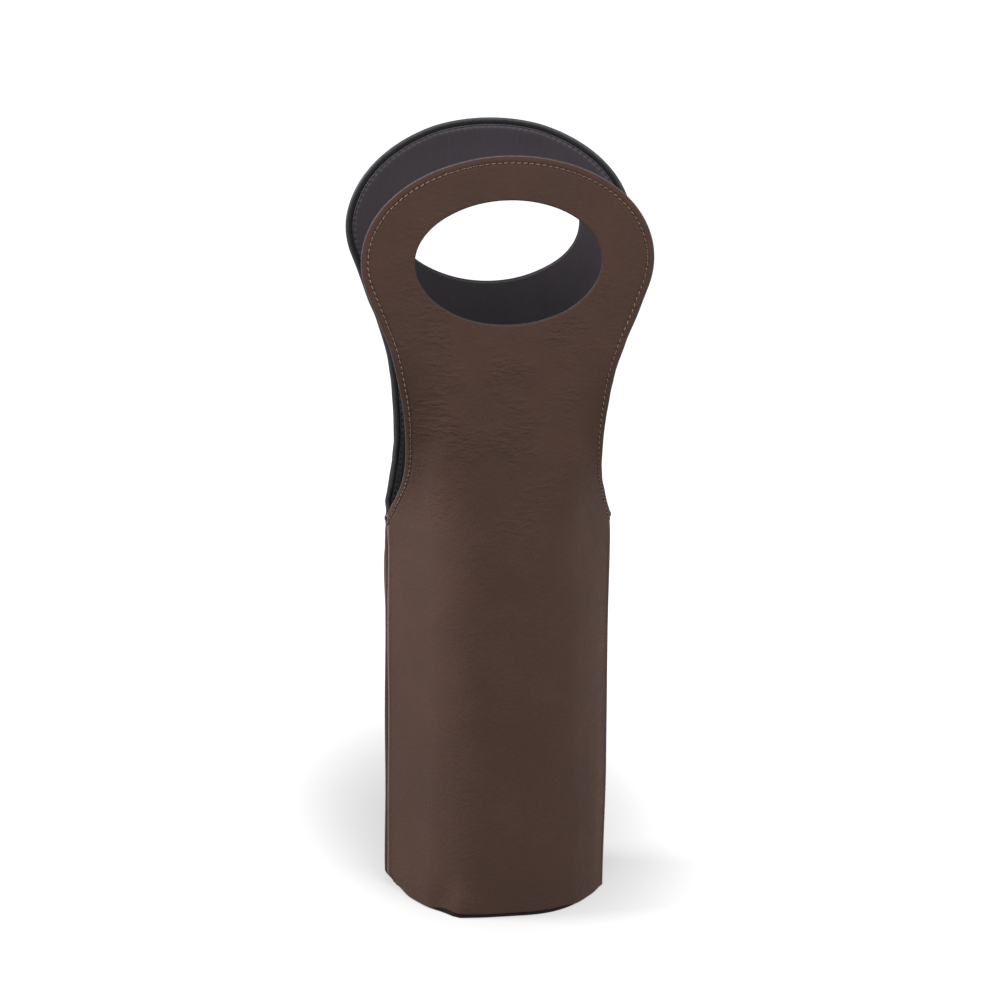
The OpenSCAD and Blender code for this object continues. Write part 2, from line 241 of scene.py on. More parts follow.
def place(s, z, inset, side):
    """Point in mm at run s across a panel, height z and depth inset under its outer face."""
    a = np.abs(s)
    b = bend(z, side)
    flat = facet_w / 2 - corner_r * np.tan(b / 2)
    fold = np.clip((a - flat) / corner_r, 0, b)
    wing = np.clip(np.minimum(a, roll_start) - flat - corner_r * b, 0, None)
    turn = np.clip((a - roll_start) / seam_roll, 0, roll_turn)
    turned = np.clip(a - roll_end, 0, None)
    x = np.minimum(a, flat) + corner_r * np.sin(fold) + wing * np.cos(b)
    d = facet_depth(z, side) - corner_r * (1 - np.cos(fold)) - wing * np.sin(b)
    x = x + seam_roll * (np.sin(b + turn) - np.sin(b)) - turned
    d = d - seam_roll * (np.cos(b) - np.cos(b + turn)) + seam_air
    face = fold + turn
    out = carried(s, z, side) * (turn < 0.5) - inset
    x = x + out * np.sin(face)
    d = d + out * np.cos(face)
    y = (d if side == BACK else -d) + turned_lean * ease(turned / turned_edge_reach)
    lift = (sole_top(s, side) - sole_low) * (1 - ease((z - sole_low) / 14))
    return settle(np.stack([np.where(s < 0, -x, x), y, (z + lift) * np.ones_like(x)], -1), side)


def run_at(x, z, side):
    """Run across a panel at which it has half-width x at height z."""
    b = bend(z, side)
    flat = facet_w / 2 - corner_r * np.tan(b / 2)
    fold_x = flat + corner_r * np.sin(b)
    on_fold = flat + corner_r * np.arcsin(np.clip((x - flat) / corner_r, 0, np.sin(b)))
    on_wing = flat + corner_r * b + (x - fold_x) / np.cos(b)
    s = np.where(x <= flat, x, np.where(x <= fold_x, on_fold, on_wing))
    middle = corner_half_w - seam_roll / math.tan(sleeve_bend / 2)
    on_roll = roll_start + seam_roll * (np.arcsin(np.clip((x - middle) / seam_roll, 0, 1)) - sleeve_bend)
    rolled = (x > middle + seam_roll * math.sin(sleeve_bend)) & (z < seam_h + 3)
    return np.where(rolled, on_roll, s)


def bezier(p, t):
    """Points of a cubic curve with the four control points p."""
    t = t[:, None]
    return (1 - t) ** 3 * p[0] + 3 * t * (1 - t) ** 2 * p[1] + 3 * t * t * (1 - t) * p[2] + t ** 3 * p[3]


def free_edge(inset, side, spacing):
    """Right half of a panel's free edge, set in by inset, as runs and heights from seam to head top."""
    def oval(angle):
        return np.stack([(head_w / 2 - inset) * np.cos(angle),
                         head_z + (head_h / 2 - inset) * np.sin(angle)], -1)
    span = waist_z - seam_h
    drop = inset / math.sin(math.atan(armhole_spread_share / math.cos(sleeve_bend)))
    waist_x = waist_w / 2 - inset * math.cos(bend(waist_z, side))
    start = np.array([sleeve_w / 2, seam_h - drop])
    waist = np.array([waist_x, waist_z])
    up = np.array([0, 1])
    armhole = [start, start + np.array([-armhole_spread_share, 1]) * armhole_seam_handle_share * span,
               waist - up * armhole_waist_handle_share * span, waist]
    top = oval(head_leave_angle)
    rise = top[1] - waist_z
    slope = -(head_w / head_h) * math.tan(head_leave_angle)
    neck = [waist, waist + up * neck_waist_handle_share * rise,
            top - np.array([slope, 1]) * neck_top_handle_share * rise, top]
    t = np.linspace(0, 1, 200)
    xz = np.concatenate([bezier(armhole, t), bezier(neck, t[1:]),
                         oval(head_leave_angle + (math.pi / 2 - head_leave_angle) * t[1:])])
    line = np.stack([run_at(xz[:, 0], xz[:, 1], side), xz[:, 1]], -1)
    return evenly(line, spacing)


def evenly(line, spacing):
    """The same line with points at an even spacing."""
    steps = np.linalg.norm(np.diff(line, axis=0), axis=1)
    length = np.concatenate([[0], np.cumsum(steps)])
    at = np.linspace(0, length[-1], max(2, int(round(length[-1] / spacing)) + 1))
    return np.stack([np.interp(at, length, line[:, k]) for k in range(line.shape[1])], -1)


def both_halves(line):
    """Right half of a line that ends on the middle, with its mirror image after it."""
    mirrored = line[:-1][::-1] * [-1, 1]
    return np.concatenate([line, mirrored])


def from_limit(line, limit):
    """Part of a free edge whose run is no more than limit, started on it."""
    inside = np.argmax(line[:, 0] <= limit)
    if inside == 0:
        return line
    a, b = line[inside - 1], line[inside]
    share = (limit - a[0]) / (b[0] - a[0])
    return np.concatenate([[a + (b - a) * share], line[inside:]])


def inside_loop(points, loop):
    """Which points lie inside a closed loop."""
    x, z = points[:, 0][:, None], points[:, 1][:, None]
    x0, z0 = loop[:, 0][None], loop[:, 1][None]
    x1, z1 = np.roll(loop[:, 0], -1)[None], np.roll(loop[:, 1], -1)[None]
    crosses = ((z0 > z) != (z1 > z)) & (x < (x1 - x0) * (z - z0) / (z1 - z0 + 1e-12) + x0)
    return crosses.sum(1) % 2 == 1


def hex_points(x0, x1, z0, z1, pitch):
    """Points of a triangular grid over a rectangle."""
    rows = np.arange(z0, z1, pitch * 0.866)
    cols = np.arange(x0, x1, pitch)
    x, z = np.meshgrid(cols, rows)
    x = x + (np.arange(len(rows)) % 2)[:, None] * pitch / 2
    return np.stack([x.ravel(), z.ravel()], -1)


def tree_of(points):
    """Search tree of flat points."""
    tree = KDTree(len(points))
    for i, p in enumerate(points):
        tree.insert((p[0], p[1], 0), i)
    tree.balance()
    return tree


def gaps_to(tree, points):
    """Distance of each point to the nearest one in the tree."""
    return np.array([tree.find((p[0], p[1], 0))[2] for p in points])


def hole_loop(out, side, spacing):
    """Outline of the finger hole, enlarged by out, as runs and heights."""
    a, b = hole_w / 2 + out, hole_h / 2 + out
    t = np.linspace(0, 2 * math.pi, 721)
    x, z = a * np.cos(t), hole_z + b * np.sin(t)
    line = np.stack([np.sign(x) * run_at(np.abs(x), z, side), z], -1)
    return evenly(line, spacing)[:-1]


def level(runs, z):
    """Row of flat points at one height."""
    return np.column_stack([runs, np.full(len(runs), z)])


def upright(run, heights):
    """Column of flat points at one run."""
    return np.column_stack([np.full(len(heights), run), heights])


# A distance beyond every edge, half the width that loose points are laid over, the height up to which the
# seam roll has regular columns of points, and how far in from the roll they begin
far = 99.0
pattern_half_w = 80
columns_top = 166
columns_in = (7, 6, 5, 4.2, 3.4, 2.6, 1.8, 0.9)


def cut_sheet(side, rings, hole_rings, foot_rows, limit, turned, pitch, spacing):
    """Cuts one layer flat, up to the run limit or with its edges turned in at the seams: points as runs and
    heights, triangles, and each point's distance to the free edge and the hole. Lines of points, spacing
    apart, follow the edges and the seam roll, and loose points, pitch apart, fill the rest."""
    points, edges, edge_in, hole_in = [], [], [], []

    def line(p, closed=False, free_in=far, hole_out=far):
        first = len(points)
        points.extend(map(tuple, p))
        edge_in.extend(np.broadcast_to(free_in, len(p)))
        hole_in.extend(np.broadcast_to(hole_out, len(p)))
        edges.extend((first + i, first + i + 1) for i in range(len(p) - 1))
        if closed:
            edges.append((first + len(p) - 1, first))

    foot = foot_rows[0]
    top = from_limit(free_edge(rings[0], side, spacing), limit)
    loop = both_halves(top)
    if turned:
        corner = [turned_end, turned_edge_top]
        side_up = evenly(np.array([[turned_end, foot], corner]), 3)
        lead = evenly(np.array([corner, top[0]]), 0.8)[1:-1]
        right = np.concatenate([side_up, lead])
        columns = [roll_start + seam_roll * roll_turn * k / 9 for k in range(10)]
        beyond = [roll_end + 1.5, roll_end + 3.5]
        half_foot = np.concatenate([np.arange(0, roll_start - 1, 1.5), columns, beyond])
    else:
        right = evenly(np.array([[limit, foot], [limit, top[0][1]]]), 2)[:-1]
        half_foot = np.arange(0, limit - 1, 1.5)
    left = right[::-1] * [-1, 1]
    foot_runs = np.concatenate([-half_foot[:0:-1], half_foot])
    outline = np.concatenate([right, loop, left, level(foot_runs, foot)])
    outline_in = np.full(len(outline), far)
    outline_in[len(right):len(right) + len(loop)] = rings[0]
    line(outline, closed=True, free_in=outline_in)
    for ring in rings[1:]:
        line(both_halves(from_limit(free_edge(ring, side, spacing), limit)), free_in=ring)
    for out in hole_rings:
        line(hole_loop(out, side, spacing), closed=True, hole_out=out)
    for z in foot_rows[1:]:
        line(level(foot_runs, z))
    if turned:
        heights = np.arange(foot_rows[-1] + 1.5, columns_top, 2.0)
        for column in [roll_start - gap for gap in columns_in] + columns[1:]:
            line(upright(-column, heights))
            line(upright(column, heights))

    in_lines = tree_of(np.array(points))
    loose = hex_points(-pattern_half_w, pattern_half_w, foot_rows[-1] + pitch * 0.7, overall_h, pitch)
    if turned:
        near = hex_points(roll_start - 1, turned_end, columns_top + 0.5, seam_h, 0.5)
        loose = np.concatenate([loose, near * [-1, 1], near])
    loose = loose[inside_loop(loose, outline)]
    across, up = loose[:, 0] / (hole_w / 2), (loose[:, 1] - hole_z) / (hole_h / 2)
    loose = loose[across ** 2 + up ** 2 >= 1.02]
    need = np.where(np.abs(loose[:, 0]) > roll_start - 1.2, 0.33, pitch * 0.6)
    loose = loose[gaps_to(in_lines, loose) > need]
    points.extend(map(tuple, loose))
    edge_in.extend([far] * len(loose))
    hole_in.extend([far] * len(loose))

    whole = [list(range(len(outline)))]
    made = delaunay_2d_cdt([Vector(p) for p in points], edges, whole, 1, 1e-7)
    corners, faces, origins = made[0], made[2], made[3]
    flat = np.array([tuple(v) for v in corners])
    known = tree_of(np.array(points))
    came_from = np.array([o[0] if o else known.find((*p, 0))[1] for o, p in zip(origins, flat)])
    triangles = np.array([t for t in faces if len(t) == 3])
    middle = flat[triangles].mean(1)
    triangles = triangles[~inside_loop(middle, hole_loop(hole_rings[0], side, spacing))]
    a, b, c = (flat[triangles[:, k]] for k in range(3))
    area = (b[:, 0] - a[:, 0]) * (c[:, 1] - a[:, 1]) - (b[:, 1] - a[:, 1]) * (c[:, 0] - a[:, 0])
    triangles[area < 0] = triangles[area < 0][:, ::-1]
    triangles = triangles[np.abs(area) > 1e-9]
    used = np.unique(triangles)
    renumber = np.full(len(flat), -1)
    renumber[used] = np.arange(len(used))
    return {"flat": flat[used], "triangles": renumber[triangles], "area": np.abs(area).sum() / 2,
            "edge": np.array(edge_in, float)[came_from[used]],
            "hole": np.array(hole_in, float)[came_from[used]]}


def make_piece(name, points, faces, uv, materials, face_materials=None, sharp=math.radians(55)):
    """Builds a mesh object from points in mm and their places on the flat cloth in mm."""
    mesh = bpy.data.meshes.new(name)
    mesh.from_pydata([tuple(p) for p in np.asarray(points) * MM], [], [tuple(f) for f in faces])
    for material in materials:
        mesh.materials.append(material)
    if face_materials is not None:
        mesh.polygons.foreach_set("material_index", np.asarray(face_materials, np.int32))
    layer = mesh.uv_layers.new(name="flat_cut")
    corners = np.zeros(len(mesh.loops), np.int32)
    mesh.loops.foreach_get("vertex_index", corners)
    layer.data.foreach_set("uv", (np.asarray(uv, float)[corners] * MM).astype(np.float32).ravel())
    mesh.validate()
    mesh.update()
    mesh.shade_smooth()
    mesh.set_sharp_from_angle(angle=sharp)
    made = bpy.data.objects.new(name, mesh)
    bpy.context.scene.collection.objects.link(made)
    return made


def layer_piece(name, sheet, side, outer_in, inner_in, materials, edge_reach, hole_reach=-1, crest_reach=-1):
    """Closed solid of one layer between two depths. Its faces have the first material, the second within
    edge_reach of the free edge and hole_reach of the hole, and the last on its walls and edge's crest."""
    flat, triangles = sheet["flat"], sheet["triangles"]
    s, z = flat[:, 0], flat[:, 1]
    n = len(flat)
    points = np.concatenate([place(s, z, outer_in, side), place(s, z, inner_in, side)])
    outer = triangles if side == FRONT else triangles[:, ::-1]
    inner = outer[:, ::-1] + n
    directed = {(int(a), int(b)) for t in outer for a, b in ((t[0], t[1]), (t[1], t[2]), (t[2], t[0]))}
    rim = sorted((a, b) for a, b in directed if (b, a) not in directed)
    walls = [(b, a, a + n, b + n) for a, b in rim]
    cut = (sheet["edge"] <= edge_reach) | (sheet["hole"] <= hole_reach)
    crest = np.minimum(sheet["edge"], sheet["hole"]) <= crest_reach
    outer_kinds = np.all(cut[outer], axis=1).astype(int)
    outer_kinds[np.all(crest[outer], axis=1)] = len(materials) - 1
    faces = [tuple(f) for f in outer] + [tuple(f) for f in inner] + walls
    kinds = np.concatenate([outer_kinds, outer_kinds, np.full(len(walls), len(materials) - 1)])
    uv = np.concatenate([flat, flat])
    return make_piece(name, points, faces, uv, materials, kinds)


def rounding(distance, radius):
    """How far a rounded edge falls away at a distance in from it."""
    left = np.clip(radius - distance, 0, radius)
    return radius - np.sqrt(np.clip(radius * radius - left * left, 0, None))


def needle_places(side):
    """Where the needle went through along the free edge, as runs and heights, from seam to seam."""
    line = free_edge(stitch_inset, side, 0.25)
    line = line[line[:, 0] <= roll_start - 0.4]
    return both_halves(evenly(line, stitch_pitch))


def near_needles(flat, holes, width):
    """1 at a needle hole, less with the distance from it."""
    return hump(gaps_to(tree_of(holes), flat) / width)


# Half-width and half-height of the thread where it is pulled tight, inside the carrier and in the tacks
tight_thread = np.array([0.43, 0.38]) * thread_d
loose_thread = np.array([0.54, 0.44]) * thread_d
tack_thread = np.array([0.45, 0.38]) * thread_d


def thread(name, centres, normals, uv_start, half_size, material):
    """Plied thread along each row of centre points; normals point away from the cloth."""
    rows, steps = centres.shape[:2]
    half_w, half_h = half_size
    sides = 9
    along = np.gradient(centres, axis=1)
    along = along / np.linalg.norm(along, axis=2, keepdims=True)
    across = np.cross(along, normals)
    across = across / np.linalg.norm(across, axis=2, keepdims=True)
    up = np.cross(across, along)
    length = np.concatenate([np.zeros((rows, 1)),
                             np.cumsum(np.linalg.norm(np.diff(centres, axis=1), axis=2), axis=1)], axis=1)
    turn = np.arange(sides) * 2 * math.pi / sides
    ply = 1 + 0.09 * np.cos(2 * (turn[None, None] - length[:, :, None] * 2 * math.pi / ply_pitch))
    taper = np.ones(steps)
    taper[0] = taper[-1] = 0.55
    ring = (centres[:, :, None]
            + across[:, :, None] * (np.cos(turn) * half_w * ply * taper[None, :, None])[..., None]
            + up[:, :, None] * (np.sin(turn) * half_h * ply * taper[None, :, None])[..., None])
    points = ring.reshape(-1, 3)
    index = np.arange(rows * steps * sides).reshape(rows, steps, sides)
    nxt = np.roll(index, -1, axis=2)
    quads = np.stack([index[:, :-1], index[:, 1:], nxt[:, 1:], nxt[:, :-1]], -1).reshape(-1, 4)
    caps = [tuple(r[0]) for r in index] + [tuple(r[-1][::-1]) for r in index]
    uv = np.stack(np.broadcast_arrays(turn[None, None] * half_w,
                                      (length + uv_start[:, None])[:, :, None]), -1).reshape(-1, 2)
    return make_piece(name, points, [tuple(q[::-1]) for q in quads] + caps, uv, [material],
                      sharp=math.radians(80))


# Places along a stitch, closer together where the thread dives into a needle hole, and how deep it dives
stitch_steps = np.array([0, 0.08, 0.14, 0.2, 0.32, 0.5, 0.68, 0.8, 0.86, 0.92, 1.0])
stitch_dive = 0.55


def stitch_rise(depth):
    """Height of a stitch's centre line over the cloth, which is depth at its middle."""
    return -stitch_dive + (stitch_dive + depth) * ease(np.minimum(stitch_steps, 1 - stitch_steps) / 0.3)


def panel_stitches(name, side, face_in, outward, material):
    """Slightly slanted stitches along a panel's free edge, on its outer or inner face."""
    holes = needle_places(side)
    a, b = holes[:-1], holes[1:]
    gap = b - a
    across = np.stack([-gap[:, 1], gap[:, 0]], -1) / np.linalg.norm(gap, axis=1, keepdims=True)
    wander = np.sin(np.arange(len(a)) * 2.4)[:, None, None] * 0.05
    t = stitch_steps[None, :, None]
    slant = (t - 0.5) * 0.22 * outward
    flat = a[:, None] + gap[:, None] * t + across[:, None] * (slant + wander)
    rise = stitch_rise(0.12)[None] * np.ones((len(a), 1))
    inset = face_in - rise * outward
    s, z = flat[..., 0], flat[..., 1]
    centres = place(s, z, inset, side)
    normals = place(s, z, inset - 0.2 * outward, side) - centres
    normals = normals / np.linalg.norm(normals, axis=2, keepdims=True)
    start = np.arange(len(a)) * stitch_pitch
    return thread(name, centres, normals, start, tight_thread, material)


# Materials. A pattern's Scale is 1000 over its spacing in millimetres, measured on the flat cloth
def linear(code):
    """Linear colour of an sRGB hex code."""
    values = [int(code[i:i + 2], 16) / 255 for i in (1, 3, 5)]
    return [v / 12.92 if v <= 0.04045 else ((v + 0.055) / 1.055) ** 2.4 for v in values] + [1.0]


def add(tree, kind, inputs=None, stops=None, **settings):
    """Adds a node with its settings, its inputs as values or links, and the stops of a colour ramp."""
    made = tree.nodes.new("ShaderNode" + kind)
    for name, value in settings.items():
        setattr(made, name, value)
    for name, value in (inputs or {}).items():
        if isinstance(value, bpy.types.NodeSocket):
            tree.links.new(value, made.inputs[name])
        else:
            made.inputs[name].default_value = value
    if stops:
        elements = made.color_ramp.elements
        while len(elements) < len(stops):
            elements.new(0.5)
        for element, (position, code) in zip(elements, stops):
            element.position = position
            element.color = linear(code)
    return made


def new_material(name):
    """Empty material and its node tree."""
    material = bpy.data.materials.new(name)
    material.use_nodes = True
    tree = material.node_tree
    tree.nodes.clear()
    return material, tree


def nubuck_leatherette():
    """Brushed PU leatherette: matt warm brown with soft cloudy patches and flecks, and a painted highlight, a
    paler line along the ridge where it rolls over the side seams. Its pebbled grain is about 1.3 mm across,
    drawn at 1.5 mm so that it shows, with short creases in patches where it was bent, most of them round the
    neck."""
    material, tree = new_material("brushed_pu_leatherette")
    flat = add(tree, "UVMap", uv_map="flat_cut").outputs[0]

    clouds = add(tree, "TexNoise", {"Vector": flat, "Scale": 1000 / 38, "Detail": 3.0, "Roughness": 0.55,
                                    "Distortion": 0.5}).outputs[0]
    flecks = add(tree, "TexNoise", {"Vector": flat, "Scale": 1000 / 5, "Detail": 4.0,
                                    "Roughness": 0.62}).outputs[0]
    nap = add(tree, "TexNoise", {"Vector": flat, "Scale": 1000 / 1.1, "Detail": 2.0,
                                 "Roughness": 0.6}).outputs[0]
    broad = add(tree, "ValToRGB", {"Fac": clouds},
                stops=[(0.33, "#513d36"), (0.5, "#553f37"), (0.67, "#5c443b")]).outputs[0]
    fine = add(tree, "ValToRGB", {"Fac": flecks}, stops=[(0.3, "#46342e"), (0.7, "#674d43")]).outputs[0]
    mixed = add(tree, "Mix", {"Factor": 0.26, "A": broad, "B": fine}, data_type="RGBA").outputs[2]
    dust = add(tree, "ValToRGB", {"Fac": nap}, stops=[(0.3, "#412f29"), (0.75, "#6c5248")]).outputs[0]
    cloth = add(tree, "Mix", {"Factor": 0.13, "A": mixed, "B": dust}, data_type="RGBA").outputs[2]

    # Painted highlight: a paler line along the ridge of each side seam, where the roll catches the light
    run = add(tree, "SeparateXYZ", {"Vector": flat}).outputs[0]
    run = add(tree, "Math", {0: run}, operation="ABSOLUTE").outputs[0]
    off_line = add(tree, "Math", {0: run, 1: (roll_start - 0.35) * MM}, operation="SUBTRACT").outputs[0]
    off_line = add(tree, "Math", {0: off_line}, operation="ABSOLUTE").outputs[0]
    painted_seam_highlight = add(tree, "MapRange", {"Value": off_line, "From Min": 0.4 * MM, "From Max": 1.1 * MM,
                                   "To Min": 0.62, "To Max": 0.0}).outputs[0]
    colour = add(tree, "Mix", {"Factor": painted_seam_highlight, "A": cloth, "B": linear("#988a84")},
                 data_type="RGBA").outputs[2]

    pebbles = add(tree, "TexVoronoi", {"Vector": flat, "Scale": 1000 / 1.5, "Smoothness": 0.6,
                                       "Randomness": 1.0}, feature="SMOOTH_F1").outputs[0]
    drawn_out = add(tree, "Mapping", {"Vector": flat, "Rotation": (0, 0, 0.25),
                                      "Scale": (0.42, 1.0, 1.0)}).outputs[0]
    creases = add(tree, "TexNoise", {"Vector": drawn_out, "Scale": 1000 / 2.1, "Detail": 2.0,
                                     "Roughness": 0.5, "Distortion": 0.6}).outputs[0]
    patchy = add(tree, "TexNoise", {"Vector": flat, "Scale": 1000 / 24, "Detail": 1.0}).outputs[0]
    patchy = add(tree, "MapRange", {"Value": patchy, "From Min": 0.42, "From Max": 0.6}).outputs[0]
    # 1 at the neck, 248 mm up, and 0 from 95 mm away
    neck = add(tree, "Mapping", {"Vector": flat, "Location": (0.1, -2.6, 0),
                                 "Scale": (10.5, 10.5, 10.5)}).outputs[0]
    neck = add(tree, "TexGradient", {"Vector": neck}, gradient_type="SPHERICAL").outputs[1]
    where = add(tree, "Math", {0: neck, 1: 3.8, 2: 0.5}, operation="MULTIPLY_ADD").outputs[0]
    where = add(tree, "Math", {0: where, 1: patchy}, operation="MULTIPLY").outputs[0]
    deep = add(tree, "Math", {0: creases, 1: where}, operation="MULTIPLY").outputs[0]
    height = add(tree, "Math", {0: pebbles, 1: -0.45, 2: deep}, operation="MULTIPLY_ADD").outputs[0]
    bump = add(tree, "Bump", {"Strength": 1.0, "Distance": 0.22 * MM, "Height": height}).outputs[0]

    rough = add(tree, "MapRange", {"Value": flecks, "From Min": 0.3, "From Max": 0.7,
                                   "To Min": 0.7, "To Max": 0.84}).outputs[0]
    shader = add(tree, "BsdfPrincipled", {
        "Base Color": colour, "Roughness": rough, "Normal": bump, "IOR": 1.45, "Specular IOR Level": 0.24,
        "Sheen Weight": 0.06, "Sheen Roughness": 0.45, "Sheen Tint": linear("#c3a190")})
    add(tree, "OutputMaterial", {"Surface": shader.outputs[0]})
    return material


def mauve_edge_and_highlight():
    """Painted cut edge of the leatherette, on its rounded outer edge: mauve grey, partly its edge paint and
    partly a painted highlight of the light that the rounded edge catches; a little smoother, with the
    cutter's ripple.
    """
    material, tree = new_material("mauve_cut_edge_painted_highlight")
    flat = add(tree, "UVMap", uv_map="flat_cut").outputs[0]
    ripple = add(tree, "TexNoise", {"Vector": flat, "Scale": 1000 / 2.4, "Detail": 3.0}).outputs[0]
    colour = add(tree, "ValToRGB", {"Fac": ripple}, stops=[(0.3, "#5a4e4f"), (0.7, "#776a6b")]).outputs[0]
    bump = add(tree, "Bump", {"Strength": 0.5, "Distance": 0.1 * MM, "Height": ripple}).outputs[0]
    shader = add(tree, "BsdfPrincipled", {"Base Color": colour, "Roughness": 0.6, "Normal": bump,
                                          "IOR": 1.48, "Specular IOR Level": 0.2})
    add(tree, "OutputMaterial", {"Surface": shader.outputs[0]})
    return material


def stiffener_black():
    """Black stiffening board cloth behind the leatherette: neutral black with a fine dry tooth."""
    material, tree = new_material("black_stiffener")
    flat = add(tree, "UVMap", uv_map="flat_cut").outputs[0]
    tooth = add(tree, "TexNoise", {"Vector": flat, "Scale": 1000 / 0.9, "Detail": 3.0,
                                   "Roughness": 0.6}).outputs[0]
    colour = add(tree, "ValToRGB", {"Fac": tooth}, stops=[(0.3, "#131314"), (0.72, "#262629")]).outputs[0]
    bump = add(tree, "Bump", {"Strength": 0.6, "Distance": 0.15 * MM, "Height": tooth}).outputs[0]
    shader = add(tree, "BsdfPrincipled", {"Base Color": colour, "Roughness": 0.62, "Normal": bump,
                                          "IOR": 1.47, "Specular IOR Level": 0.25})
    add(tree, "OutputMaterial", {"Surface": shader.outputs[0]})
    return material


def black_rim_with_painted_light():
    """Black edge paint on the stiffening layer's rounded rim: smooth and dark grey, partly a painted
    highlight for the line of light that it catches round the head, and painted shade darkening it down the
    neck and below."""
    material, tree = new_material("black_rim_paint_with_painted_light")
    flat = add(tree, "UVMap", uv_map="flat_cut").outputs[0]
    ripple = add(tree, "TexNoise", {"Vector": flat, "Scale": 1000 / 3, "Detail": 2.0}).outputs[0]
    # A grey lighter than the black paint, partly a painted highlight
    paint = add(tree, "ValToRGB", {"Fac": ripple}, stops=[(0.3, "#2b2b2e"), (0.7, "#3c3c40")]).outputs[0]
    # Painted shade: darker from 280 mm down to 220 mm up the flat cloth, and below
    height = add(tree, "SeparateXYZ", {"Vector": flat}).outputs[1]
    painted_shade = add(tree, "MapRange", {"Value": height, "From Min": 220 * MM, "From Max": 280 * MM,
                                 "To Min": 0.6, "To Max": 0.0}).outputs[0]
    colour = add(tree, "Mix", {"Factor": painted_shade, "A": paint, "B": linear("#0a0a0b")},
                 data_type="RGBA").outputs[2]
    bump = add(tree, "Bump", {"Strength": 0.4, "Distance": 0.1 * MM, "Height": ripple}).outputs[0]
    shader = add(tree, "BsdfPrincipled", {"Base Color": colour, "Roughness": 0.44, "Normal": bump,
                                          "IOR": 1.5, "Specular IOR Level": 0.35})
    add(tree, "OutputMaterial", {"Surface": shader.outputs[0]})
    return material


def base_leatherette():
    """Black PU leatherette of the base: matt, a little warm, with a fine pebbled grain 1 mm across."""
    material, tree = new_material("black_base_leatherette")
    flat = add(tree, "UVMap", uv_map="flat_cut").outputs[0]
    grain = add(tree, "TexVoronoi", {"Vector": flat, "Scale": 1000 / 1.0}).outputs[0]
    colour = add(tree, "ValToRGB", {"Fac": grain}, stops=[(0.2, "#1f191a"), (0.7, "#161213")]).outputs[0]
    bump = add(tree, "Bump", {"Strength": 0.6, "Distance": 0.1 * MM, "Height": grain}).outputs[0]
    shader = add(tree, "BsdfPrincipled", {"Base Color": colour, "Roughness": 0.75, "Normal": bump,
                                          "IOR": 1.45, "Specular IOR Level": 0.2})
    add(tree, "OutputMaterial", {"Surface": shader.outputs[0]})
    return material


def satin_lining(name, stops):
    """Charcoal warp-faced satin lining: purple grey with faint upright streaks of the warp and a soft sheen,
    and painted shade, darker down in the sleeve, which lies in deep shade. Threads 0.25 mm apart are too fine
    to show, so the warp is drawn 0.8 mm apart."""
    material, tree = new_material(name)
    flat = add(tree, "UVMap", uv_map="flat_cut").outputs[0]
    upright_threads = add(tree, "Mapping", {"Vector": flat, "Scale": (1.0, 0.12, 1.0)}).outputs[0]
    warp = add(tree, "TexNoise", {"Vector": upright_threads, "Scale": 1000 / 0.8, "Detail": 3.0,
                                  "Roughness": 0.6}).outputs[0]
    bands = add(tree, "TexNoise", {"Vector": upright_threads, "Scale": 1000 / 9, "Detail": 2.0}).outputs[0]
    both = add(tree, "Mix", {"Factor": 0.2, "A": warp, "B": bands}, data_type="FLOAT").outputs[0]
    cloth = add(tree, "ValToRGB", {"Fac": both}, stops=stops).outputs[0]
    # Painted shade: darker from 325 mm down to 200 mm up the flat cloth, and below
    height = add(tree, "SeparateXYZ", {"Vector": flat}).outputs[1]
    painted_shade = add(tree, "MapRange", {"Value": height, "From Min": 200 * MM, "From Max": 325 * MM,
                                 "To Min": 0.92, "To Max": 0.0}, interpolation_type="SMOOTHSTEP").outputs[0]
    colour = add(tree, "Mix", {"Factor": painted_shade, "A": cloth, "B": linear("#0a0a10")},
                 data_type="RGBA").outputs[2]
    bump = add(tree, "Bump", {"Strength": 0.22, "Distance": 0.1 * MM, "Height": warp}).outputs[0]
    shader = add(tree, "BsdfPrincipled", {
        "Base Color": colour, "Roughness": 0.55, "Normal": bump, "IOR": 1.5, "Specular IOR Level": 0.35,
        "Sheen Weight": 0.1, "Sheen Roughness": 0.35, "Sheen Tint": linear("#a79fb0")})
    add(tree, "OutputMaterial", {"Surface": shader.outputs[0]})
    return material


def spun_thread(name, dark, light, rough):
    """Spun polyester sewing thread: plies show as slanting light and dark, painted light and shade of the
    twist, with a dull lustre. A wave's Scale gives a spacing of 2 pi over 20 times the Scale, so that is
    worked out from the plies' pitch."""
    material, tree = new_material(name)
    flat = add(tree, "UVMap", uv_map="flat_cut").outputs[0]
    slanted = add(tree, "Mapping", {"Vector": flat, "Rotation": (0, 0, 0.7)}).outputs[0]
    painted_ply_shading = add(tree, "TexWave", {"Vector": slanted, "Scale": 1000 / ply_pitch * math.pi / 10,
                                  "Distortion": 1.0, "Detail": 1.0}).outputs[1]
    fuzz = add(tree, "TexNoise", {"Vector": flat, "Scale": 1000 / 0.7, "Detail": 2.0}).outputs[0]
    both = add(tree, "Mix", {"Factor": 0.5, "A": painted_ply_shading, "B": fuzz}, data_type="FLOAT").outputs[0]
    colour = add(tree, "ValToRGB", {"Fac": both}, stops=[(0.25, dark), (0.75, light)]).outputs[0]
    bump = add(tree, "Bump", {"Strength": 0.4, "Distance": 0.08 * MM, "Height": both}).outputs[0]
    shader = add(tree, "BsdfPrincipled", {"Base Color": colour, "Roughness": rough, "Normal": bump,
                                          "IOR": 1.5, "Specular IOR Level": 0.3})
    add(tree, "OutputMaterial", {"Surface": shader.outputs[0]})
    return material


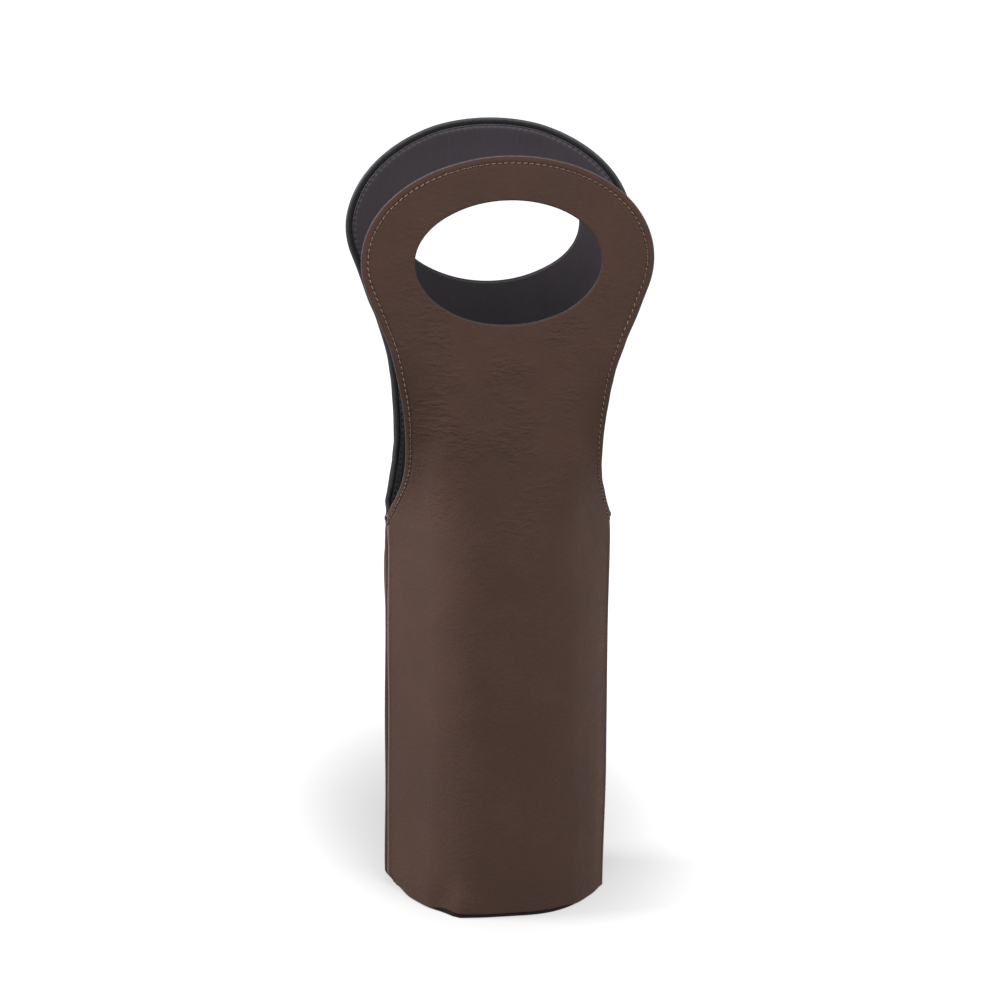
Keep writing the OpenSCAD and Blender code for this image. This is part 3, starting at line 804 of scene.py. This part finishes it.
def needle_shadow():
    """Punched needle hole in the leatherette: painted shade of the hole's depth, dark brown with frayed
    fibres and no shine.
    """
    material, tree = new_material("needle_hole_painted_shade")
    flat = add(tree, "UVMap", uv_map="flat_cut").outputs[0]
    fray = add(tree, "TexNoise", {"Vector": flat, "Scale": 1000 / 0.6}).outputs[0]
    colour = add(tree, "ValToRGB", {"Fac": fray}, stops=[(0.3, "#1c1210"), (0.7, "#2e201c")]).outputs[0]
    shader = add(tree, "BsdfPrincipled", {"Base Color": colour, "Roughness": 0.85,
                                          "Specular IOR Level": 0.2})
    add(tree, "OutputMaterial", {"Surface": shader.outputs[0]})
    return material


def grey_board():
    """Grey chipboard: dull pressed paper fibre with pale and dark flecks about 1.5 mm long."""
    material, tree = new_material("grey_chipboard")
    at = add(tree, "TexCoord").outputs["Object"]
    fibre = add(tree, "TexNoise", {"Vector": at, "Scale": 1000 / 1.5, "Detail": 4.0,
                                   "Roughness": 0.7}).outputs[0]
    colour = add(tree, "ValToRGB", {"Fac": fibre}, stops=[(0.3, "#776f66"), (0.7, "#9c958b")]).outputs[0]
    bump = add(tree, "Bump", {"Strength": 0.5, "Distance": 0.1 * MM, "Height": fibre}).outputs[0]
    shader = add(tree, "BsdfPrincipled", {"Base Color": colour, "Roughness": 0.85, "Normal": bump})
    add(tree, "OutputMaterial", {"Surface": shader.outputs[0]})
    return material


leatherette = nubuck_leatherette()
mauve_edge_highlight = mauve_edge_and_highlight()
stiffener = stiffener_black()
lining_cloth = satin_lining("charcoal_satin_lining", [(0.3, "#353036"), (0.5, "#393339"), (0.7, "#3d383e")])
# A lighter copy of the lining for its hem: a painted highlight along the raised hem
hem_painted_highlight_cloth = satin_lining("charcoal_satin_hem_painted_highlight", [(0.36, "#4a434c"), (0.64, "#565058")])
rim_colour_with_painted_light = black_rim_with_painted_light()
base_black = base_leatherette()
topstitch_thread = spun_thread("dusty_tan_polyester_thread", "#6f564a", "#9a8171", 0.65)
under_thread = spun_thread("black_polyester_thread", "#100f12", "#262429", 0.6)
needle_hole_shade = needle_shadow()
chipboard = grey_board()

# Camera of the photograph: its focal length in pixels of the 1000 pixel frame, the point that it looks at,
# its distance from that and its direction
photo_px = 1000
focal_px = 5211.5
look_at = Vector((0.00129, 0, 0.18565))
look_from = 2.3859
lift, swing, roll = math.radians(15.12), math.radians(-6.13), math.radians(0.31)
camera_data = bpy.data.cameras.new("photo_camera")
camera = bpy.data.objects.new("photo_camera", camera_data)
bpy.context.scene.collection.objects.link(camera)
bpy.context.scene.camera = camera
camera_data.sensor_width = 36
camera_data.lens = camera_data.sensor_width * focal_px / photo_px
camera_data.clip_start, camera_data.clip_end = 0.1, 50
back_way = Vector((math.sin(swing) * math.cos(lift), -math.cos(swing) * math.cos(lift), math.sin(lift)))
right_way = Vector((0, 0, 1)).cross(back_way).normalized()
up_way = back_way.cross(right_way)
rolled_right = right_way * math.cos(roll) + up_way * math.sin(roll)
rolled_up = up_way * math.cos(roll) - right_way * math.sin(roll)
camera.matrix_world = Matrix.Translation(look_at + back_way * look_from) @ Matrix(
    (rolled_right, rolled_up, back_way)).transposed().to_4x4()

# Panels
panel_names = ("front", "back")
handle_bodies = ("front_handle", "back_handle")


def dress(piece, nodes, handle):
    """Puts a piece in place of its CAD nodes: hides them, and hangs the piece on the sleeve, or, where it
    also runs over a handle, bakes its place into the mesh.
    """
    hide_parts(*nodes)
    if handle is None:
        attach(piece, "sleeve")
    else:
        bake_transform(piece)


# Distances in from the free edge and out from the hole at which lines of points run, closest where the
# surface turns, and heights of such lines at the foot
leather_rings = [0, 0.04, 0.12, 0.3, 0.5, 0.8, 1.5, 2.2, 2.75, 3.05, 3.3, 3.55, 3.9, 4.5, 5.4, 6.5]
leather_hole_rings = [0, 0.04, 0.12, 0.52, 0.8, 1.6, 2.8]
backing_rings = [0.08, 0.14, 0.24, 0.4, 0.6, 0.85, 1.2, 2.0, 2.45, 2.75, 3.6]
backing_hole_rings = [0.08, 0.2, 0.4, 0.9, 1.5]
lining_rings = [lining_inset, 2.95, 3.05, 3.2, 3.4, 3.8, 4.4, 5.2, 6.2, 7.4, 8.8]
lining_hole_rings = [lining_hole_inset, 0.55, 0.7, 1.0, 2.0]
foot_rows = [sole_low + up for up in (0, 0.04, 0.12, 0.35, 1.0, 2.2)]


def leather_panel(side, which, handle, holes):
    """Outer layer, with soft edges, drawn in along the stitching and more at each needle hole."""
    sheet = cut_sheet(side, leather_rings, leather_hole_rings, foot_rows, limit=roll_crown, turned=True,
                      pitch=1.6, spacing=0.7)
    edge, hole, flat = sheet["edge"], sheet["hole"], sheet["flat"]
    soft = 0.32
    fall = rounding(edge, soft) + rounding(hole, soft) + rounding(flat[:, 1] - sole_low, soft)
    fall = fall + 0.26 * np.clip(1 - edge / 2.6, 0, 1) ** 2
    fall = fall + 0.1 * np.clip(1 - hole / 1.6, 0, 1) ** 2
    drawn_in = 0.2 * hump((edge - stitch_inset) / 0.6) + 0.3 * near_needles(flat, holes, 0.42) * (edge < 6)
    # Within 0.51 mm of an edge the outer face takes the mauve edge colour, partly a painted highlight
    leather = layer_piece(which + "_panel_leather", sheet, side, fall + drawn_in,
                          np.full(len(flat), leather_t), [leatherette, mauve_edge_highlight, stiffener],
                          edge_reach=0.51, hole_reach=0.51, crest_reach=0.13)
    dress(leather, [which + "_sleeve_leather", which + "_handle_leather"], handle)


def backing_panel(side, which, handle):
    """Stiffening layer: a rounded, painted rim, a groove along the lining's edge, and a dry tooth."""
    sheet = cut_sheet(side, backing_rings, backing_hole_rings, [backing_foot], limit=backing_side,
                      turned=False, pitch=4.0, spacing=0.9)
    edge, hole, flat = sheet["edge"], sheet["hole"], sheet["flat"]
    fall = rounding(edge - backing_rings[0], 0.7) + rounding(hole - backing_hole_rings[0], 0.4)
    fall = fall + 0.3 * hump((edge - 2.7) / 0.25)
    tooth = 0.03 * np.sin(flat[:, 0] * 3.1) * np.sin(flat[:, 1] * 2.7)
    # The rim within 1.21 mm of the edge takes the rim colour, partly painted highlight and painted shade
    backing = layer_piece(which + "_panel_backing", sheet, side, np.full(len(flat), leather_t),
                          leather_t + backing_t - fall + tooth, [stiffener, rim_colour_with_painted_light], edge_reach=1.21)
    dress(backing, [which + "_sleeve_backing", which + "_handle_backing"], handle)


def lining_panel(side, which, handle, holes):
    """Inner layer: a raised hem at its edge, gathered at each stitch and puffed up between them."""
    sheet = cut_sheet(side, lining_rings, lining_hole_rings, [lining_foot], limit=lining_side,
                      turned=False, pitch=2.4, spacing=0.5)
    edge, hole, flat = sheet["edge"], sheet["hole"], sheet["flat"]
    fall = rounding(edge - lining_inset, 0.3) + rounding(hole - lining_hole_inset, 0.3)
    hem = 0.22 * hump((edge - 3.0) / 0.22)
    gathered = near_needles(flat, holes, 1.15) * np.exp(-np.clip(edge - stitch_inset, 0, far) / 3.2)
    puff = 0.62 * (1 - gathered) * np.exp(-np.clip(edge - 4.2, 0, far) / 4.5) * ease((edge - 3.1) / 0.8)
    puff = puff * (edge < 20)
    pulled = 0.25 * near_needles(flat, holes, 0.5) * (edge < 6)
    # The band within 3.1 mm of the free edge takes the lighter hem copy, a painted highlight
    lining = layer_piece(which + "_panel_lining", sheet, side,
                         np.full(len(flat), leather_t + backing_t + 0.02),
                         wall_t - fall + hem + puff - pulled, [lining_cloth, hem_painted_highlight_cloth], edge_reach=3.1)
    dress(lining, [which + "_sleeve_lining", which + "_handle_lining"], handle)


def needle_pits(side, which, holes):
    """Pits where the needle went in, sunk in the leatherette at each end of a stitch and coloured dark as
    painted shade.
    """
    corners = 10
    radii, depths = (0.44, 0.3, 0.12), (0.06, 0.28, 0.36)
    turn = np.arange(corners) * 2 * math.pi / corners
    circle = np.stack([np.cos(turn), np.sin(turn)], -1)
    points, faces, uv = [], [], []
    for k, middle in enumerate(holes):
        rings = np.concatenate([middle + radius * circle for radius in radii])
        points.append(place(rings[:, 0], rings[:, 1], np.repeat(depths, corners), side))
        uv.append(rings)
        outer = k * len(rings)
        for ring in (outer, outer + corners):
            for j in range(corners):
                a, b = ring + j, ring + (j + 1) % corners
                faces.append((a, b, b + corners, a + corners))
        bottom = outer + 2 * corners
        faces.append(tuple(range(bottom, bottom + corners)))
    if side == BACK:
        faces = [face[::-1] for face in faces]
    pits = make_piece(which + "_needle_holes", np.concatenate(points), faces, np.concatenate(uv), [needle_hole_shade])
    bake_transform(pits)


for side in (FRONT, BACK):
    which, handle = panel_names[side], handle_bodies[side]
    holes = needle_places(side)
    leather_panel(side, which, handle, holes)
    backing_panel(side, which, handle)
    lining_panel(side, which, handle, holes)
    stitches = panel_stitches(which + "_topstitching", side, 0.0, 1, topstitch_thread)
    dress(stitches, [which + "_armhole_topstitching", which + "_handle_topstitching"], handle)
    stitches = panel_stitches(which + "_under_stitching", side, wall_t, -1, under_thread)
    dress(stitches,
          [which + "_armhole_inner_stitching", which + "_handle_inner_stitching"], handle)
    needle_pits(side, which, holes)


# Base
def ring_outline(inset, height):
    """Outline of the sleeve near the floor, set in by inset, as a closed loop of points in mm."""
    tip = corner_half_w - inset / math.sin(sleeve_bend)
    flat = facet_w / 2 - corner_r * math.tan(sleeve_bend / 2)
    angle = np.linspace(0, sleeve_bend, 9)
    fold_x = flat + (corner_r - inset) * np.sin(angle)
    fold_d = sleeve_d / 2 - corner_r + (corner_r - inset) * np.cos(angle)
    blunt = 0.9
    wing = np.linspace(0, 1, 14)[1:]
    wing_x = fold_x[-1] + (tip - blunt - fold_x[-1]) * wing
    wing_d = fold_d[-1] + (blunt * math.tan(sleeve_bend) - fold_d[-1]) * wing
    x = np.concatenate([[0], fold_x, wing_x, [tip - 0.35, tip - 0.2]])
    d = np.concatenate([[sleeve_d / 2 - inset], fold_d, wing_d, [0.5, 0]])
    quarter = np.stack([x, d], -1)
    front_right = quarter * [1, -1]
    back_right = quarter[:-1][::-1]
    back_left = quarter[1:] * [-1, 1]
    front_left = quarter[1:-1][::-1] * [-1, -1]
    loop = np.concatenate([front_right, back_right, back_left, front_left])
    level_z = np.full(len(loop), height)
    s = np.sign(loop[:, 0]) * run_at(np.abs(loop[:, 0]), np.zeros(len(loop)), FRONT)
    in_front = loop[:, 1] < 0
    out = np.where(in_front, carried(s, level_z, FRONT), carried(s, level_z, BACK))
    away = loop / np.linalg.norm(loop, axis=1, keepdims=True)
    tuck = sole_tuck * ease((np.abs(s) - sole_half) / sole_fade) * (height < sole_low)
    loop = loop + away * (out - tuck)[:, None]
    top = np.where(in_front, sole_top(s, FRONT), sole_top(s, BACK))
    lifted = np.where(height > sole_low, height, height / sole_low * top)
    return settle(np.column_stack([loop, lifted]))


def lofted(name, outlines, materials):
    """Closed solid through outlines of equal length; the first and last are filled."""
    m = len(outlines[0])
    points = np.concatenate(outlines)
    faces = [tuple(range(m))[::-1], tuple(range(len(points) - m, len(points)))]
    for r in range(len(outlines) - 1):
        for j in range(m):
            a, b = r * m + j, r * m + (j + 1) % m
            faces.append((a, b, b + m, a + m))
    uv = points[:, :2] + points[:, 2:] * [0.6, 0.8]
    return make_piece(name, points, faces, uv, materials, sharp=math.radians(40))


# Insets and heights of the cover: under the sleeve, round its soft edge, up inside to the turned-up top,
# and down again to the board
cover_profile = [(2.2, 0.0), (0.75, 0.0), (0.32, 0.02), (0.1, 0.07), (0.02, 0.15), (0.03, 0.27), (0.15, 0.34),
                 (0.4, 0.37), (1.85, 0.38), (1.85, 6.7), (1.95, 6.95), (2.1, 7.0), (2.2, 6.9), (2.25, 6.6),
                 (2.3, 1.4), (2.6, 0.95)]
cover = lofted("base_cover_shell", [ring_outline(inset, height) for inset, height in cover_profile],
               [base_black])
dress(cover, ["base_cover"], None)

# The lining over the board: its outline shrunk to these shares, at these heights, with a slight ripple
cloth_rows = [(1, 2.92), (1, 3.25), (0.996, 3.42), (0.985, 3.45), (0.93, 3.43), (0.8, 3.47), (0.6, 3.52),
              (0.4, 3.5), (0.2, 3.46), (0.05, 3.45)]
inner = ring_outline(2.62, 0)
centre = inner.mean(0)
cloth_outlines = []
for share, height in cloth_rows:
    outline = centre + (inner - centre) * share
    ripple = 0.12 * np.sin(outline[:, 0] / 6) * np.cos(outline[:, 1] / 8) * (0.1 < share < 0.95)
    outline[:, 2] = height + ripple
    cloth_outlines.append(outline)
floor_cloth = lofted("base_lining_cloth", cloth_outlines, [lining_cloth])
dress(floor_cloth, ["base_lining"], None)

# Stitches round the cover's turned-up edge
base_line = ring_outline(2.3, 5.2)
base_line = evenly(np.concatenate([base_line, base_line[:1]]), 0.5)
base_length = np.linalg.norm(np.diff(base_line, axis=0), axis=1).sum()
base_holes = evenly(base_line, base_length / int(base_length / seam_pitch))
a, b = base_holes[:-1], base_holes[1:]
along = b - a
to_middle = -(a + b) / 2
to_middle[:, 2] = 0
inward = np.cross(along, [0, 0, 1])
inward = inward / np.linalg.norm(inward, axis=1, keepdims=True)
inward = inward * np.sign((inward * to_middle).sum(1))[:, None]
centres = a[:, None] + along[:, None] * stitch_steps[None, :, None] \
    + inward[:, None] * stitch_rise(0.19)[None, :, None]
base_stitches = thread("base_seam_stitches", centres, np.broadcast_to(inward[:, None], centres.shape),
                       np.arange(len(a)) * seam_pitch, loose_thread, under_thread)
dress(base_stitches, ["base_seam_thread"], None)


def seam_stitches(way, which):
    """Lockstitch on the turned edges of both panels, inside the sleeve."""
    heights = np.arange(turned_up_h + seam_pitch, turned_edge_top - 1, seam_pitch)
    z = heights[:-1, None] + seam_pitch * stitch_steps[None]
    s = np.full(z.shape, (roll_end + 2.6) * way)
    lie = leather_t + stitch_rise(0.19)[None] * np.ones((len(z), 1))
    centres = np.concatenate([place(s, z, lie, side) for side in (FRONT, BACK)])
    normals = np.concatenate([place(s, z, lie + 0.2, side) for side in (FRONT, BACK)]) - centres
    normals = normals / np.linalg.norm(normals, axis=2, keepdims=True)
    stitches = thread(which + "_side_seam_stitches", centres, normals,
                      np.arange(len(centres)) * seam_pitch, loose_thread, under_thread)
    dress(stitches, [which + "_side_seam_thread"], None)


def bar_tack(way, which):
    """Four turns of thread over the top of a side seam, from the front panel to the back one."""
    turns, facing = [], []
    runs = np.linspace(roll_start - 0.8, roll_start + seam_roll * roll_turn * 0.8, 9) * way
    rise = -0.5 + 0.68 * ease(np.linspace(0, 1, 9) / 0.25)
    tilt = np.linspace(0, 0.25, 9)
    for k in range(4):
        z = seam_h - 1.3 - k * thread_d * 0.9
        halves, faces = [], []
        for side, heights in ((FRONT, z - tilt), (BACK, z - 0.5 + tilt)):
            half = place(runs, heights, -rise, side)
            halves.append(half)
            faces.append(place(runs, heights, -rise - 0.2, side) - half)
        turns.append(np.concatenate([halves[0], halves[1][::-1]]))
        facing.append(np.concatenate([faces[0], faces[1][::-1]]))
    turns, facing = np.array(turns), np.array(facing)
    facing = facing / np.linalg.norm(facing, axis=2, keepdims=True)
    tack = thread(which + "_bar_tack", turns, facing, np.arange(4) * 8.0, tack_thread, under_thread)
    dress(tack, [which + "_seam_bar_tack"], None)


for way, which in ((-1, "left"), (1, "right")):
    seam_stitches(way, which)
    bar_tack(way, which)

board_profile = [(2.75, 0.92), (2.58, 1.02), (2.55, 1.3), (2.55, 2.6), (2.6, 2.8), (2.75, 2.9)]
board = lofted("base_chipboard", [ring_outline(inset, height) for inset, height in board_profile],
               [chipboard])
dress(board, ["base_board"], None)


def background_rays(tree):
    """1 for camera, glossy and transmission rays, which are to meet a white background, and 0 for others."""
    path = add(tree, "LightPath").outputs
    seen = path["Is Camera Ray"]
    for ray in ("Is Glossy Ray", "Is Transmission Ray"):
        seen = add(tree, "Math", {0: seen, 1: path[ray]}, operation="MAXIMUM").outputs[0]
    return seen


# Stage: a pale floor that glows white to the camera and keeps its shadow, with a painted shadow round the
# carrier where the glow is less; it sends little light back up
floor_half, floor_z = 6, -0.0001
ways = ((-1, -1), (1, -1), (1, 1), (-1, 1))
floor_mesh = bpy.data.meshes.new("studio_floor")
floor_mesh.from_pydata([(x * floor_half, y * floor_half, floor_z) for x, y in ways], [], [(0, 1, 2, 3)])
floor = bpy.data.objects.new("studio_floor", floor_mesh)
bpy.context.scene.collection.objects.link(floor)
material, tree = new_material("studio_floor_white")
bounced = add(tree, "LightPath").outputs["Is Diffuse Ray"]
pale_floor = add(tree, "BsdfDiffuse", {"Color": (0.4, 0.4, 0.4, 1)})
dull_floor = add(tree, "BsdfDiffuse", {"Color": (0.12, 0.12, 0.12, 1)})
diffuse = add(tree, "MixShader", {0: bounced, 1: pale_floor.outputs[0], 2: dull_floor.outputs[0]})
# Painted shadow: the glow falls from 1 to 0.42 towards a place 84 mm behind the carrier's middle, over an
# oval twice as long front to back
painted_shadow_place = add(tree, "TexCoord").outputs["Object"]
painted_shadow_place = add(tree, "Mapping", {"Vector": painted_shadow_place, "Location": (-0.006, -0.042, 0),
                             "Scale": (1.0, 0.5, 1.0)}).outputs[0]
reach = add(tree, "VectorMath", {0: painted_shadow_place}, operation="LENGTH").outputs["Value"]
glow_with_painted_shadow = add(tree, "MapRange", {"Value": reach, "From Min": 0.04, "From Max": 0.15,
                              "To Min": 0.42, "To Max": 1.0}, interpolation_type="SMOOTHSTEP").outputs[0]
glow = add(tree, "Emission", {"Color": (1, 1, 1, 1), "Strength": glow_with_painted_shadow})
off = add(tree, "Emission", {"Strength": 0.0})
extra = add(tree, "MixShader", {0: background_rays(tree), 1: off.outputs[0], 2: glow.outputs[0]})
total = add(tree, "AddShader", {0: diffuse.outputs[0], 1: extra.outputs[0]})
add(tree, "OutputMaterial", {"Surface": total.outputs[0]})
floor_mesh.materials.append(material)

# White to the camera, and a dim fill for the carrier
world = bpy.data.worlds.new("studio")
bpy.context.scene.world = world
world.use_nodes = True
tree = world.node_tree
tree.nodes.clear()
strength = add(tree, "MapRange", {"Value": background_rays(tree), "To Min": 0.23, "To Max": 1.0}).outputs[0]
sky = add(tree, "Background", {"Color": (1, 1, 1, 1), "Strength": strength})
add(tree, "OutputWorld", {"Surface": sky.outputs[0]})


def softbox(name, at, size, power, aim=0.18, spread=180):
    """Rectangular lamp at a place, turned to the carrier's middle line at the height aim."""
    data = bpy.data.lights.new(name, "AREA")
    data.spread = math.radians(spread)
    data.shape = "RECTANGLE"
    data.size, data.size_y = size
    data.energy = power
    made = bpy.data.objects.new(name, data)
    made.location = at
    made.rotation_mode = "QUATERNION"
    made.rotation_quaternion = (Vector((0, 0, aim)) - Vector(at)).to_track_quat("-Z", "Y")
    bpy.context.scene.collection.objects.link(made)


# A narrow light on the heads from the left, a weak one on the right side, and the main one in front
softbox("softbox_left", (-1.0, 0.1, 0.95), (0.5, 0.6), 2.85, aim=0.45, spread=66)
softbox("softbox_right", (1.2, 0.15, 0.7), (0.6, 0.9), 1.6)
softbox("softbox_front", (0.24, -0.95, 1.28), (1.1, 0.8), 15.4)

bpy.context.scene.view_settings.view_transform = "Standard"
